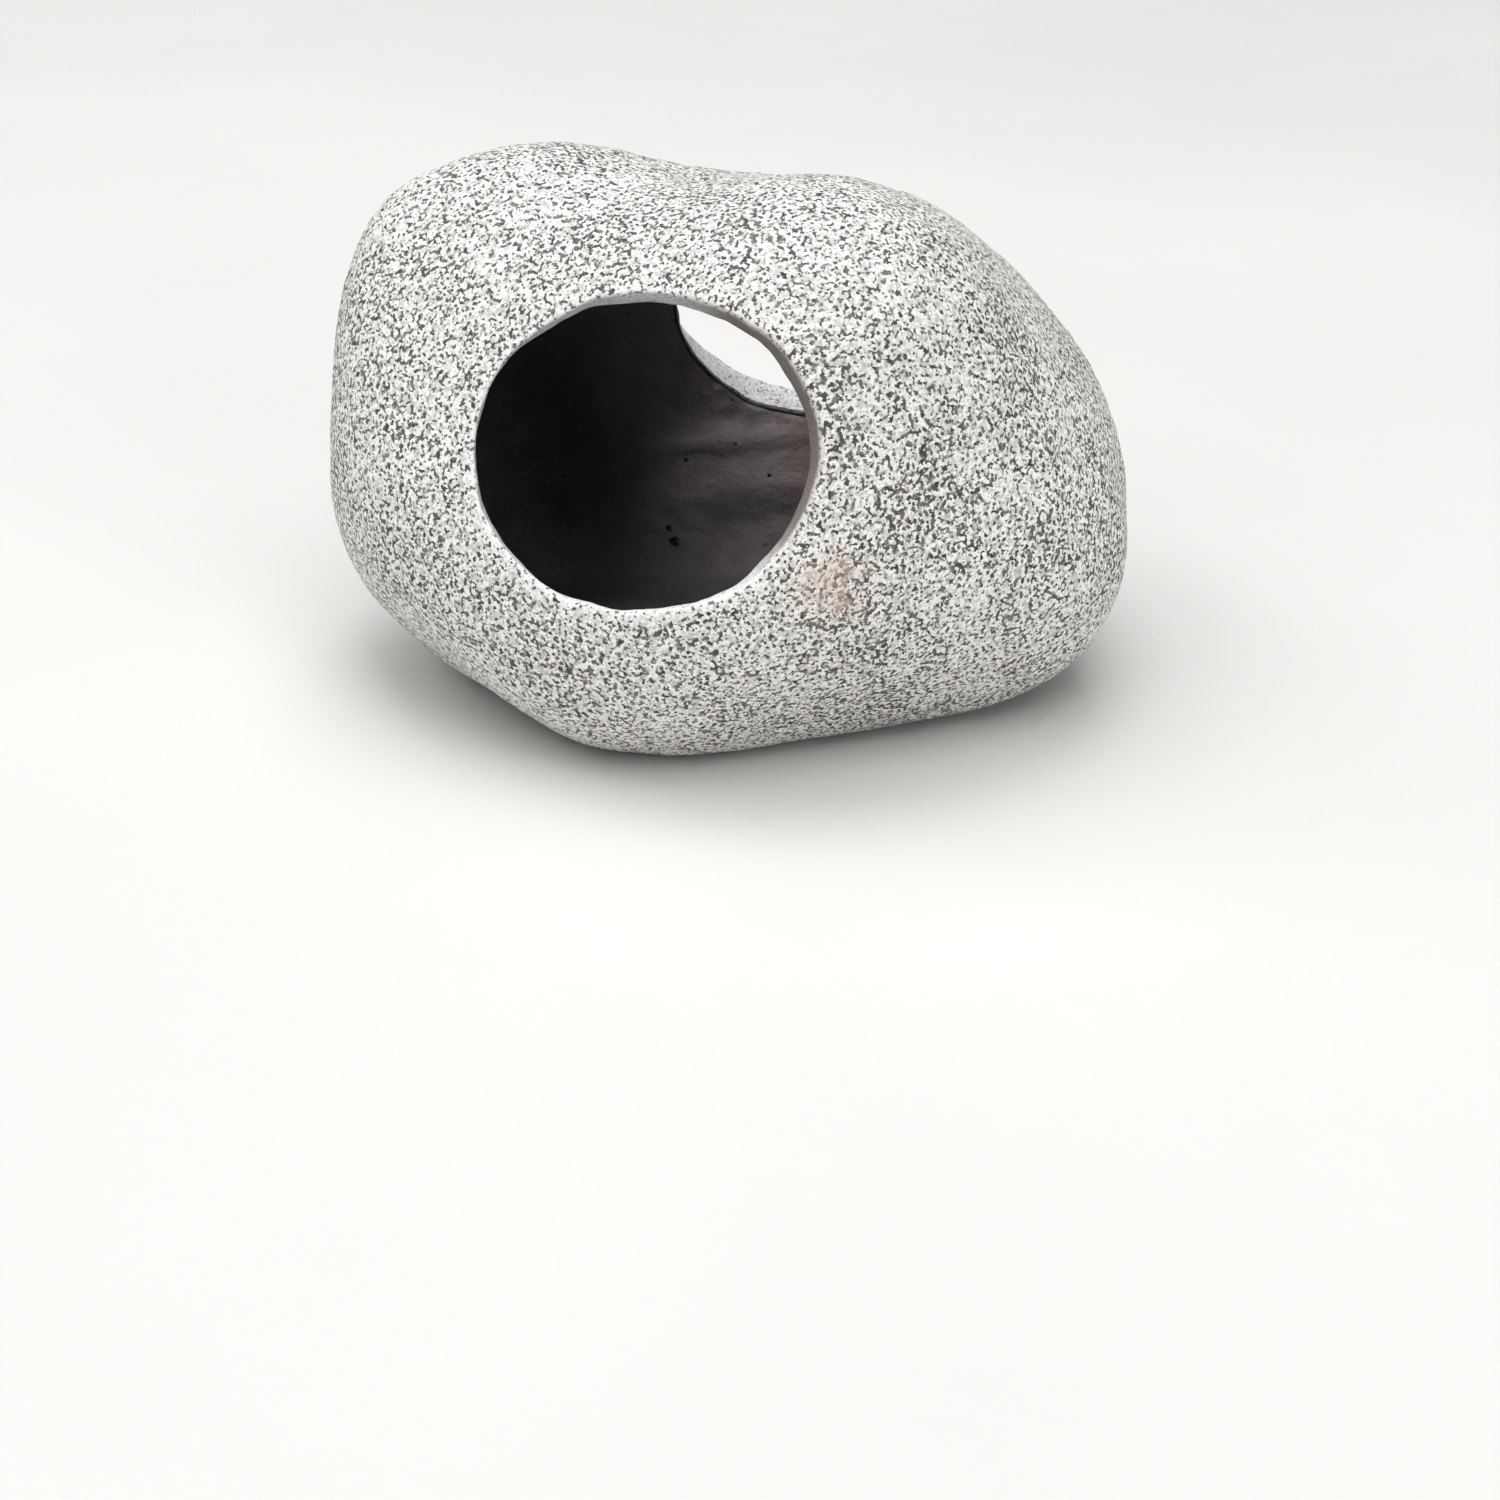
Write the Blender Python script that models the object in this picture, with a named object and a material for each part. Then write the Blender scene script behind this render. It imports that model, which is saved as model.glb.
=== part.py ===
"""Hollow boulder cave for an aquarium: a cast cave in two parts, bonded at a low seam, under a granite-fleck coat.

Metres, +Z up. The flat foot stands on z = 0 and the plan view is centred on the origin. +X is the long, tapered
end, and the front doorway faces -Y. Azimuths run from +X (0) to the back, +Y (90), and round to -Y (-90).
"""

from math import cos, pi, radians, sin

import bmesh
import bpy
import numpy as np
from mathutils import Vector

MM = 0.001

# ---- driving dimensions ------------------------------------------------------------------------------------
CENTRE = Vector((-10.1, 3.08, 47.0)) * MM  # point that the boulder's radii are measured from
WALL = 7.2 * MM  # coat, gap and casting together
COAT = 0.6 * MM  # sprayed granite-fleck coat
FIT = 0.3 * MM  # clearance kept between touching pieces
SEAM_Z = 27.5 * MM  # height of the joint between the two castings
COAT_HEM_Z = 1.6 * MM  # the coat stops here, so the bare foot carries the load
TONGUE_DEPTH = 2.4 * MM  # rib under the upper casting
TONGUE_OUTER = 3.3 * MM  # depth of the rib's outer face below the boulder's surface
TONGUE_INNER = 5.0 * MM
BEAD_HEIGHT = 0.8 * MM  # bonding resin left under the rib

# The boulder is a rounded intersection of flats: name, azimuth, elevation, distance from CENTRE in mm.
FLATS = (
    ("right end", 0, 0, 98),
    ("left end", 180, 5, 66),
    ("front", -90, 10, 63),
    ("back", 90, 10, 53),
    ("top", 0, 90, 52),
    ("slope down to the right end", 0, 45, 68),
    ("front of the top", -90, 55, 74),
    ("back of the top", 90, 55, 55),
    ("front right", -45, 10, 79),
    ("front left", -135, 10, 54),
    ("back right", 45, 10, 80),
    ("back left", 135, 10, 66),
    ("overhang, left", 180, -45, 58),
    ("overhang, right", 0, -45, 74),
    ("overhang, front", -90, -40, 62),
    ("overhang, back", 90, -40, 54),
    ("overhang, front left", -135, -35, 71),
    ("overhang, back right", 45, -35, 80),
    ("high front left", -135, 45, 51),
    ("high front right", -45, 45, 73),
    ("high back right", 45, 45, 84),
)
ROUNDING = 8.0  # exponent that blends the flats: larger is crisper
# Soft swells and dips: name, azimuth, elevation, height in mm, spread in degrees.
SWELLS = (
    ("crest at the top left", 132, 60, 6.0, 20),
    ("saddle across the top", 0, 80, -3.0, 22),
    ("dip before the right slope", 25, 50, -4.0, 22),
    ("hip low on the right", -32, -24, 5.0, 20),
    ("heel low on the left", 160, -45, 5.0, 20),
    ("left flank", 168, -22, 3.0, 16),
    ("left shoulder", 150, 43, 2.0, 13),
    ("brow above the front", -50, 60, 4.0, 22),
    ("swell at the back", 90, -10, 3.0, 25),
)
FOOT_ROUNDING = 24.0
FOOT_SHAVE = 0.4 * MM  # depth by which the rounded underside is cut flat

# Doorways: azimuth and elevation of the middle of the mouth, then of the passage's axis, and half height
# across the axis. The mouths are a little wider than high.
FRONT_DOOR = {"at": (-115, 19), "axis": (-98, 24), "radius": 26.8 * MM, "widen": 1.02}
BACK_DOOR = {"at": (48, 14), "axis": (92, 30), "radius": 26.0 * MM, "widen": 1.08}
MOST_SLANT = 32  # degrees between a doorway's cut face and square to the wall
DOOR_OUTWARD = 40 * MM  # the shape that cuts a doorway runs this far out, and this far past the wall
DOOR_PAST = 5 * MM
DOOR_SIDES = 60
CELLS = 12  # mesh cells along each of the twelve edges of the cube that the boulder is blown up from
REACH = 0.4  # half side of the large boxes that cut the boulder at a level


def direction(azimuth, elevation):
    a, e = radians(azimuth), radians(elevation)
    return np.array((cos(e) * cos(a), cos(e) * sin(a), sin(e)))


def free_radius(u):
    """Radius in metres along unit vectors u, before the foot is cut."""
    total = np.zeros(len(u))
    for _, azimuth, elevation, distance in FLATS:
        total += (np.maximum(u @ direction(azimuth, elevation), 0) / distance) ** ROUNDING
    radius = total ** (-1 / ROUNDING)
    for _, azimuth, elevation, height, spread in SWELLS:
        angle = np.degrees(np.arccos(np.clip(u @ direction(azimuth, elevation), -1, 1)))
        radius += height * np.exp(-((angle / spread) ** 2))
    return radius * MM


def lean(u):
    """Cosine of the angle between each u and the surface's normal there."""
    step = 1e-3
    helper = np.where(np.abs(u[:, 2:]) < 0.9, (0.0, 0.0, 1.0), (1.0, 0.0, 0.0))
    first = np.cross(helper, u)
    first /= np.linalg.norm(first, axis=1, keepdims=True)
    slope = 0
    for tangent in (first, np.cross(u, first)):
        ahead, behind = u + step * tangent, u - step * tangent
        ahead /= np.linalg.norm(ahead, axis=1, keepdims=True)
        behind /= np.linalg.norm(behind, axis=1, keepdims=True)
        slope += ((free_radius(ahead) - free_radius(behind)) / (2 * step)) ** 2
    return 1 / np.sqrt(1 + slope / free_radius(u) ** 2)


def skin(u, inset, floor_z):
    """Points, from CENTRE, of the boulder's surface set in by a thickness and cut flat at floor_z."""
    radius = free_radius(u) - inset / lean(u)
    drop = CENTRE.z - floor_z
    foot = (drop + FOOT_SHAVE) / np.maximum(-u[:, 2], 1e-6)
    radius = (radius**-FOOT_ROUNDING + foot**-FOOT_ROUNDING) ** (-1 / FOOT_ROUNDING)
    points = radius[:, None] * u
    points[:, 2] = np.maximum(points[:, 2], -drop)
    return points


def cube_grid():
    """Unit vectors and triangles of a cube whose faces are CELLS by CELLS, blown up to a sphere."""
    index, corners, triangles = {}, [], []

    def corner(key):
        if key not in index:
            index[key] = len(corners)
            corners.append([np.tan((2 * k / CELLS - 1) * pi / 4) for k in key])
        return index[key]

    for axis in range(3):
        for side in (0, CELLS):
            for i in range(CELLS):
                for j in range(CELLS):
                    ring = []
                    for a, b in ((i, j), (i + 1, j), (i + 1, j + 1), (i, j + 1)):
                        key = [0, 0, 0]
                        key[axis], key[(axis + 1) % 3], key[(axis + 2) % 3] = side, a, b
                        ring.append(corner(tuple(key)))
                    a, b, c, d = ring if side else ring[::-1]
                    triangles += [(a, b, c), (a, c, d)]
    u = np.array(corners)
    return u / np.linalg.norm(u, axis=1, keepdims=True), triangles


def add(name, mesh, location=(0, 0, 0), cutter=False):
    thing = bpy.data.objects.new(name, mesh)
    thing.location = location
    bpy.context.scene.collection.objects.link(thing)
    if cutter:
        thing.hide_render = True
        thing.display_type = "WIRE"
    return thing


def boulder(name, inset, floor_z, cutter=True):
    u, triangles = cube_grid()
    mesh = bpy.data.meshes.new(name)
    mesh.from_pydata(skin(u, inset, floor_z).tolist(), [], triangles)
    return add(name, mesh, CENTRE, cutter)


def slab(name, bottom, top):
    """A wide box between two levels."""
    mesh = bpy.data.meshes.new(name)
    shape = bmesh.new()
    bmesh.ops.create_cube(shape, size=1.0)
    bmesh.ops.scale(shape, vec=(REACH, REACH, top - bottom), verts=shape.verts)
    shape.to_mesh(mesh)
    shape.free()
    return add(name, mesh, (0, 0, (bottom + top) / 2), cutter=True)


def normals(points):
    """Outward normals of the uncut boulder under points given from CENTRE."""
    u = points / np.linalg.norm(points, axis=1, keepdims=True)
    step = 2e-3
    first = np.cross(np.where(np.abs(u[:, 2:]) < 0.9, (0.0, 0.0, 1.0), (1.0, 0.0, 0.0)), u)
    first /= np.linalg.norm(first, axis=1, keepdims=True)
    along = []
    for tangent in (first, np.cross(u, first)):
        ends = []
        for end in (u + step * tangent, u - step * tangent):
            end /= np.linalg.norm(end, axis=1, keepdims=True)
            ends.append(free_radius(end)[:, None] * end)
        along.append(ends[0] - ends[1])
    normal = np.cross(*along)
    return normal / np.linalg.norm(normal, axis=1, keepdims=True)


def doorway(name, door, grow):
    """The shape that cuts a doorway: an oval along its axis, turned towards square to the wall where that would slit it."""
    outward = direction(*door["at"])
    middle = free_radius(outward[None])[0] * outward
    axis = direction(*door["axis"])
    across = np.cross((0, 0, 1), axis)
    across /= np.linalg.norm(across)
    up = np.cross(axis, across)
    angle = np.arange(DOOR_SIDES) * 2 * pi / DOOR_SIDES
    wide, high = door["radius"] * door["widen"], door["radius"]
    oval = middle + np.cos(angle)[:, None] * wide * across + np.sin(angle)[:, None] * high * up
    low, top = np.full(DOOR_SIDES, -32 * MM), np.full(DOOR_SIDES, DOOR_OUTWARD)
    for _ in range(30):  # find the boulder's surface along the axis at each side of the oval
        depth = (low + top) / 2
        edge = oval + depth[:, None] * axis
        length = np.linalg.norm(edge, axis=1)
        inside = length < free_radius(edge / length[:, None])
        low, top = np.where(inside, depth, low), np.where(inside, top, depth)
    normal = normals(edge)
    square = normal @ axis  # cosine between the axis and the wall's normal
    slanted = axis - square[:, None] * normal + 1e-12
    slanted /= np.linalg.norm(slanted, axis=1, keepdims=True)
    limit = radians(MOST_SLANT)
    turned = cos(limit) * normal + sin(limit) * slanted
    inward = -np.where((square < cos(limit))[:, None], turned, axis)
    slant = np.maximum(square, cos(limit))[:, None]
    grown = edge + grow * (np.cos(angle)[:, None] * across + np.sin(angle)[:, None] * up)
    rings = (grown + DOOR_OUTWARD * axis, grown, grown + inward * (WALL / slant + DOOR_PAST))
    points = np.concatenate(rings + tuple(ring.mean(0)[None] for ring in (rings[0], rings[2])))
    faces = []
    for k in range(DOOR_SIDES):
        n = (k + 1) % DOOR_SIDES
        for ring in (0, DOOR_SIDES):
            faces += [(ring + k, ring + DOOR_SIDES + k, ring + DOOR_SIDES + n), (ring + k, ring + DOOR_SIDES + n, ring + n)]
        faces.append((3 * DOOR_SIDES, k, n))
        faces.append((3 * DOOR_SIDES + 1, 2 * DOOR_SIDES + n, 2 * DOOR_SIDES + k))
    mesh = bpy.data.meshes.new(name)
    mesh.from_pydata(points.tolist(), [], faces)
    return add(name, mesh, CENTRE, cutter=True)


def combine(thing, operation, other):
    change = thing.modifiers.new(f"{operation.lower()} {other.name}", "BOOLEAN")
    change.operation = operation
    change.solver = "EXACT"
    change.object = other


def material(name, colour, roughness):
    made = bpy.data.materials.new(name)
    made.use_nodes = True
    shader = made.node_tree.nodes["Principled BSDF"]
    shader.inputs["Base Color"].default_value = (*colour, 1)
    shader.inputs["Roughness"].default_value = roughness
    shader.inputs["Metallic"].default_value = 0.0
    return made


def ring(name, outer, inner, bottom, top):
    """A band that follows the wall between two depths below its surface and between two levels."""
    band = boulder(name, outer, 0)
    combine(band, "DIFFERENCE", boulder(f"{name}_core", inner, 0))
    combine(band, "INTERSECT", slab(f"{name}_levels", bottom, top))
    return band


for old in list(bpy.data.objects):
    bpy.data.objects.remove(old, do_unlink=True)

body_skin = COAT + FIT  # depth of the castings' outer face below the boulder's surface
cavity = boulder("cut_cavity", WALL, WALL)
casting_doors = [doorway("cut_front_door", FRONT_DOOR, body_skin), doorway("cut_back_door", BACK_DOOR, body_skin)]
half_gap = FIT / 2

# Upper casting: the cave's roof and walls, with both doorways and a rib under its lower edge.
upper = boulder("upper_shell", body_skin, 0, cutter=False)
combine(upper, "DIFFERENCE", cavity)
for door in casting_doors:
    combine(upper, "DIFFERENCE", door)
below = slab("cut_below_seam", -REACH, SEAM_Z + half_gap)
tongue = ring("tongue", TONGUE_OUTER, TONGUE_INNER, SEAM_Z - TONGUE_DEPTH, SEAM_Z + WALL)
combine(below, "DIFFERENCE", tongue)
combine(upper, "DIFFERENCE", below)

# Lower casting: a bowl with a closed floor, a flat foot and a groove for the rib.
base = boulder("base_shell", body_skin, 0, cutter=False)
combine(base, "DIFFERENCE", cavity)
combine(base, "DIFFERENCE", slab("cut_above_seam", SEAM_Z - half_gap, REACH))
groove_floor = SEAM_Z - TONGUE_DEPTH - BEAD_HEIGHT - 2 * FIT
groove = ring("cut_groove", TONGUE_OUTER - FIT, TONGUE_INNER + FIT, groove_floor, SEAM_Z + WALL)
combine(base, "DIFFERENCE", groove)

# Bonding resin along the bottom of the groove.
bead_bottom = groove_floor + FIT
bead = ring("seam_bead", TONGUE_OUTER, TONGUE_INNER, bead_bottom, bead_bottom + BEAD_HEIGHT)
bead.hide_render = False
bead.display_type = "TEXTURED"

# Granite-fleck coat: one skin over both castings that turns in over the cut faces of the doorways.
coat = boulder("stone_coat", 0, 0, cutter=False)
under_coat = boulder("cut_under_coat", COAT, -FIT / 3)
for name, door in (("front", FRONT_DOOR), ("back", BACK_DOOR)):
    combine(under_coat, "DIFFERENCE", doorway(f"keep_{name}_lining", door, COAT))
combine(coat, "DIFFERENCE", slab("cut_below_hem", -REACH, COAT_HEM_Z))
combine(coat, "DIFFERENCE", under_coat)
combine(coat, "DIFFERENCE", cavity)
for name, door in (("front", FRONT_DOOR), ("back", BACK_DOOR)):
    combine(coat, "DIFFERENCE", doorway(f"cut_{name}_lining", door, 0))

root = bpy.data.objects.new("cave_ornament", None)
bpy.context.scene.collection.objects.link(root)
for thing, colour, roughness in (
    (upper, (0.035, 0.033, 0.034), 0.85),
    (base, (0.035, 0.033, 0.034), 0.85),
    (bead, (0.10, 0.09, 0.08), 0.60),
    (coat, (0.52, 0.51, 0.50), 0.80),
):
    thing.parent = root
    thing.data.materials.append(material(f"{thing.name}_finish", colour, roughness))
    thing.data.shade_smooth()
    thing.data.set_sharp_from_angle(angle=radians(40))
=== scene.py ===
"""Hollow boulder cave for an aquarium, with a granite-fleck coat, on a pale studio floor.

Four pieces are built here in finer detail than their CAD solids and stand where those do: two castings bonded
at a low seam, the resin in and along the seam, and the sprayed coat. Points are worked out in millimetres from
CENTRE, the point inside the cave that the boulder's radii are measured from, with +Z up and the front doorway
facing -Y. u is always an array of unit vectors from CENTRE, and z is measured from the floor.
"""

from math import cos, pi, radians, sin

import bpy
import numpy as np
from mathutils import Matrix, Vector


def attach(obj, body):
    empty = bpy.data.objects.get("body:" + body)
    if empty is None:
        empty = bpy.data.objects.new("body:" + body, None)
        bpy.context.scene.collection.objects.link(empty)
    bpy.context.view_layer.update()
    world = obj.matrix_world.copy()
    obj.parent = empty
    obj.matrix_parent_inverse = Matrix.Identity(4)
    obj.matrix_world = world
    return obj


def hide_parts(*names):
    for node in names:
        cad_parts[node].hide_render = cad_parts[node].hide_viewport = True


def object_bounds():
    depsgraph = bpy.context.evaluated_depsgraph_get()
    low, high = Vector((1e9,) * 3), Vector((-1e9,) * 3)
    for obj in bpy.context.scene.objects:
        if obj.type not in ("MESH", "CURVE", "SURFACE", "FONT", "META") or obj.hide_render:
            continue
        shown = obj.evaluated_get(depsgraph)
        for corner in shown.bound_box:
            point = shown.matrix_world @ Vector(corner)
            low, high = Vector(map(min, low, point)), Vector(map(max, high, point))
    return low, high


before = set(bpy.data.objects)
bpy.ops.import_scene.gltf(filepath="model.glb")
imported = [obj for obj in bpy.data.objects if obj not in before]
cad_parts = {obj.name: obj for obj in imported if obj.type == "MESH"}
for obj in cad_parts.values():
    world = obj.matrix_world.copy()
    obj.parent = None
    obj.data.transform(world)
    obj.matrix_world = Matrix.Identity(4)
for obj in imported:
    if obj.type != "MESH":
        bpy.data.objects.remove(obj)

cad_low, cad_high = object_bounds()

# ---- the boulder -------------------------------------------------------------------------------------------
CENTRE = np.array((-10.1, 3.08, 47.0))
WALL, COAT, FIT = 7.2, 0.6, 0.3  # wall with its coat, coat alone, clearance between pieces
UNDER_COAT = COAT + FIT
SEAM_Z = 27.5  # where the castings meet
HEM_Z = 0.5  # the coat ends this far above the floor
INSIDE = np.array((1e-5, 1e-5, 0.0))  # metres left between the pieces and the CAD model's box
SHRINK = 0.9965  # the CAD boulder's flat facets lie a little inside the true curve
SLOPE_STEP = 2e-3  # the part of a radian that slopes are measured over

FLATS = (  # azimuth, elevation, distance from CENTRE
    (0, 0, 98), (180, 5, 66), (-90, 10, 63), (90, 10, 53), (0, 90, 52), (0, 45, 68), (-90, 55, 74),
    (90, 55, 55), (-45, 10, 79), (-135, 10, 54), (45, 10, 80), (135, 10, 66), (180, -45, 58),
    (0, -45, 74), (-90, -40, 62), (90, -40, 54), (-135, -35, 71), (45, -35, 80), (-135, 45, 51),
    (-45, 45, 73), (45, 45, 84),
)
ROUNDING = 8.0  # the higher it is, the sharper the turn from one flat to the next
SWELLS = (  # azimuth, elevation, height, spread in degrees
    (132, 60, 6.0, 20), (0, 80, -3.0, 22), (25, 50, -4.0, 22), (-32, -24, 5.0, 20),
    (160, -45, 5.0, 20), (168, -22, 3.0, 16), (150, 43, 2.0, 13), (-50, 60, 4.0, 22), (90, -10, 3.0, 25),
)
UNEVEN = 0.10  # height of the surface's own waviness
FOOT_ROUNDING, FOOT_SHAVE = 24.0, 0.4
RIDGE_HEIGHT, RIDGE_WIDTH = 0.7, 2.4  # of the ridge inside the cave where the castings meet

# at is where a doorway is on the boulder and axis the way its passage faces, each as azimuth and elevation.
FRONT = {"at": (-115, 19), "axis": (-98, 24), "radius": 26.8, "widen": 1.02, "seed": 5}
BACK = {"at": (48, 14), "axis": (92, 30), "radius": 26.0, "widen": 1.08, "seed": 9}
LIP = 1.1  # radius of the rounded edge where the coat turns into a doorway
MOST_SLANT = radians(32)  # of a cut face from square to the wall
OTHER_SIDE = 48.0  # a point this far in along a passage is on the other side of the cave
EDGE_REACH = (-32.0, 40.0)  # a doorway's edge lies between these places along its axis
CUT_REACH = 16.0  # no cut face is longer than this
LIP_FADE = 0.9  # how far the rounded edges' paler look, a painted highlight, reaches onto the coat's face
LIP_STEPS, CUT_STEPS = 6, 9  # rings of faces over the rounded edge and along the cut face
TUCK, HEM_TUCK = 1.2, 1.0  # how far the coat's edge goes on, hidden against the casting

TONGUE = (3.3, 5.0)  # depths of the two faces of the rib under the upper casting
TONGUE_Z, GROOVE_Z = SEAM_Z - 2.4, SEAM_Z - 3.8
BEAD_Z = (SEAM_Z - 3.5, SEAM_Z - 2.7)  # the resin under the rib
RING_POINTS = 240  # in each ring of the resin
SMEAR_WIDTH, SMEAR_HEIGHT = 2.4, 0.30  # half width and height of the resin wiped along the seam
SMEAR_SUNK, SMEAR_ROOT = 0.12, 0.45  # how deep its edges and its hidden back are in the castings


def direction(azimuth, elevation):
    a, e = radians(azimuth), radians(elevation)
    return np.array((cos(e) * cos(a), cos(e) * sin(a), sin(e)))


def unit(v):
    return v / np.linalg.norm(v, axis=-1, keepdims=True)


def waves(points, wavelength, count, seed):
    """Smooth random field of about unit height; its bumps are about half a wavelength across."""
    rng = np.random.RandomState(seed)
    k = unit(rng.normal(size=(count, 3))) * 2 * pi / wavelength * rng.uniform(0.75, 1.3, (count, 1))
    phase = rng.uniform(0, 2 * pi, count)
    return np.cos(points @ k.T + phase).sum(1) * (2 / count) ** 0.5


def free_radius(u):
    """Length of the boulder's radius along unit vectors u, before its foot is cut."""
    total = np.zeros(len(u))
    for azimuth, elevation, distance in FLATS:
        total += (np.maximum(u @ direction(azimuth, elevation), 0) / distance) ** ROUNDING
    radius = total ** (-1 / ROUNDING)
    for azimuth, elevation, height, spread in SWELLS:
        angle = np.degrees(np.arccos(np.clip(u @ direction(azimuth, elevation), -1, 1)))
        radius += height * np.exp(-((angle / spread) ** 2))
    here = radius[:, None] * u
    radius += UNEVEN * waves(here, 19, 40, 12)
    return radius * SHRINK


def tangents(u):
    """Two directions square to each u and to each other."""
    helper = np.where(np.abs(u[:, 2:]) < 0.9, (0.0, 0.0, 1.0), (1.0, 0.0, 0.0))
    first = unit(np.cross(helper, u))
    return first, np.cross(u, first)


def beside(u, tangent):
    """Unit vectors a small step ahead of u and behind it."""
    return unit(u + SLOPE_STEP * tangent), unit(u - SLOPE_STEP * tangent)


def lean(u):
    """Cosine of the angle between each u and the surface's normal there."""
    slope = 0
    for tangent in tangents(u):
        ahead, behind = beside(u, tangent)
        slope += ((free_radius(ahead) - free_radius(behind)) / (2 * SLOPE_STEP)) ** 2
    return 1 / np.sqrt(1 + slope / free_radius(u) ** 2)


def skin(u, inset, floor_z=0.0):
    """Points of the boulder's surface along u, set in by a thickness and cut flat at floor_z."""
    radius = free_radius(u) - (inset / lean(u) if inset else 0)
    drop = CENTRE[2] - floor_z
    foot = (drop + FOOT_SHAVE) / np.maximum(-u[:, 2], 1e-6)
    radius = (radius**-FOOT_ROUNDING + foot**-FOOT_ROUNDING) ** (-1 / FOOT_ROUNDING)
    points = radius[:, None] * u
    points[:, 2] = np.maximum(points[:, 2], -drop)
    return points


def cavity(u):
    """Points of the cave's inner surface, with the soft ridge where the two castings meet."""
    points = skin(u, WALL, WALL)
    height = points[:, 2] + CENTRE[2] - SEAM_Z
    ridge = RIDGE_HEIGHT * np.exp(-((height / RIDGE_WIDTH) ** 2)) + 0.25 * waves(points, 30, 30, 21)
    return points - ridge[:, None] * u


def coat_face(u):
    return skin(u, 0)


def casting_face(u):
    return skin(u, UNDER_COAT)


def normal_of(points):
    """Outward normals of the coat's face below points on it."""
    u = unit(points)
    along = []
    for tangent in tangents(u):
        ahead, behind = beside(u, tangent)
        along.append(coat_face(ahead) - coat_face(behind))
    return unit(np.cross(*along))


def turning_points(count, low, high, at, early):
    """Points at(t), one for each of count values of t, where early(points) stops being true."""
    low, high = np.full(count, low), np.full(count, high)
    for _ in range(30):
        middle = (low + high) / 2
        points = at(middle)
        before = early(points)
        low, high = np.where(before, middle, low), np.where(before, high, middle)
    return points


def is_inside(surface):
    """A function that says of each point whether it is nearer to CENTRE than a surface is."""

    def check(points):
        length = np.linalg.norm(points, axis=1)
        return length < np.linalg.norm(surface(points / length[:, None]), axis=1)

    return check


# ---- mesh tools --------------------------------------------------------------------------------------------
def sphere_grid(cells):
    """Unit vectors and outward triangles of a cube whose faces are cells by cells, blown up to a sphere."""
    index, corners, triangles = {}, [], []

    def corner(key):
        if key not in index:
            index[key] = len(corners)
            corners.append(key)
        return index[key]

    for axis in range(3):
        for side in (0, cells):
            for i in range(cells):
                for j in range(cells):
                    ring = []
                    for a, b in ((i, j), (i + 1, j), (i + 1, j + 1), (i, j + 1)):
                        key = [0, 0, 0]
                        key[axis], key[(axis + 1) % 3], key[(axis + 2) % 3] = side, a, b
                        ring.append(corner(tuple(key)))
                    a, b, c, d = ring if side else ring[::-1]
                    triangles += [(a, b, c), (a, c, d)] if (i + j) % 2 else [(a, b, d), (b, c, d)]
    u = np.tan((2 * np.array(corners) / cells - 1) * pi / 4)
    return unit(u), np.array(triangles)


def slide(points, surface, field):
    """Moves points along a surface until field is zero there."""
    longest = 0.02  # pull in one round
    for _ in range(7):
        u = unit(points)
        ways = tangents(u)
        value = field(surface(u))
        slopes = [(field(surface(beside(u, way)[0])) - value) / SLOPE_STEP for way in ways]
        pull = np.minimum(value / np.maximum(slopes[0] ** 2 + slopes[1] ** 2, 1e-9), longest)
        points = surface(unit(u - sum((pull * slope)[:, None] * way for slope, way in zip(slopes, ways))))
    return points


def clip(points, faces, surface, field, snap):
    """Keeps a mesh on a surface where field is positive. Points beside the cut are moved onto it."""
    points, value = points.copy(), field(points)
    near = np.abs(value) < snap
    points[near], value[near] = slide(points[near], surface, field), 0
    sign = np.sign(value)[faces]
    kept = faces[(sign >= 0).all(1) & (sign > 0).any(1)].tolist()
    made, cut = {}, []
    for face in faces[(sign > 0).any(1) & (sign < 0).any(1)].tolist():
        ring = []
        for a, b in zip(face, face[1:] + face[:1]):
            if value[a] >= 0:
                ring.append(a)
            if value[a] * value[b] < 0:
                key = (min(a, b), max(a, b))
                if key not in made:
                    made[key] = len(points) + len(cut)
                    cut.append(points[a] + (points[b] - points[a]) * value[a] / (value[a] - value[b]))
                ring.append(made[key])
        kept += [(ring[0], ring[i], ring[i + 1]) for i in range(1, len(ring) - 1)]
    if cut:
        points = np.concatenate((points, slide(np.array(cut), surface, field)))
    used, faces = np.unique(np.array(kept), return_inverse=True)
    return points[used], faces.reshape(-1, 3)


def open_loops(faces):
    """The mesh's open edges as loops of points, in the order that its own faces run along them."""
    ends = np.concatenate((faces[:, [0, 1]], faces[:, [1, 2]], faces[:, [2, 0]]))
    forward = set(map(tuple, ends.tolist()))
    after = {a: b for a, b in forward if (b, a) not in forward}
    loops = []
    while after:
        start, following = next(iter(after.items()))
        loop = [start]
        while following != start:
            loop.append(following)
            following = after.pop(following)
        after.pop(start, None)
        loops.append(loop)
    return loops


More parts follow.
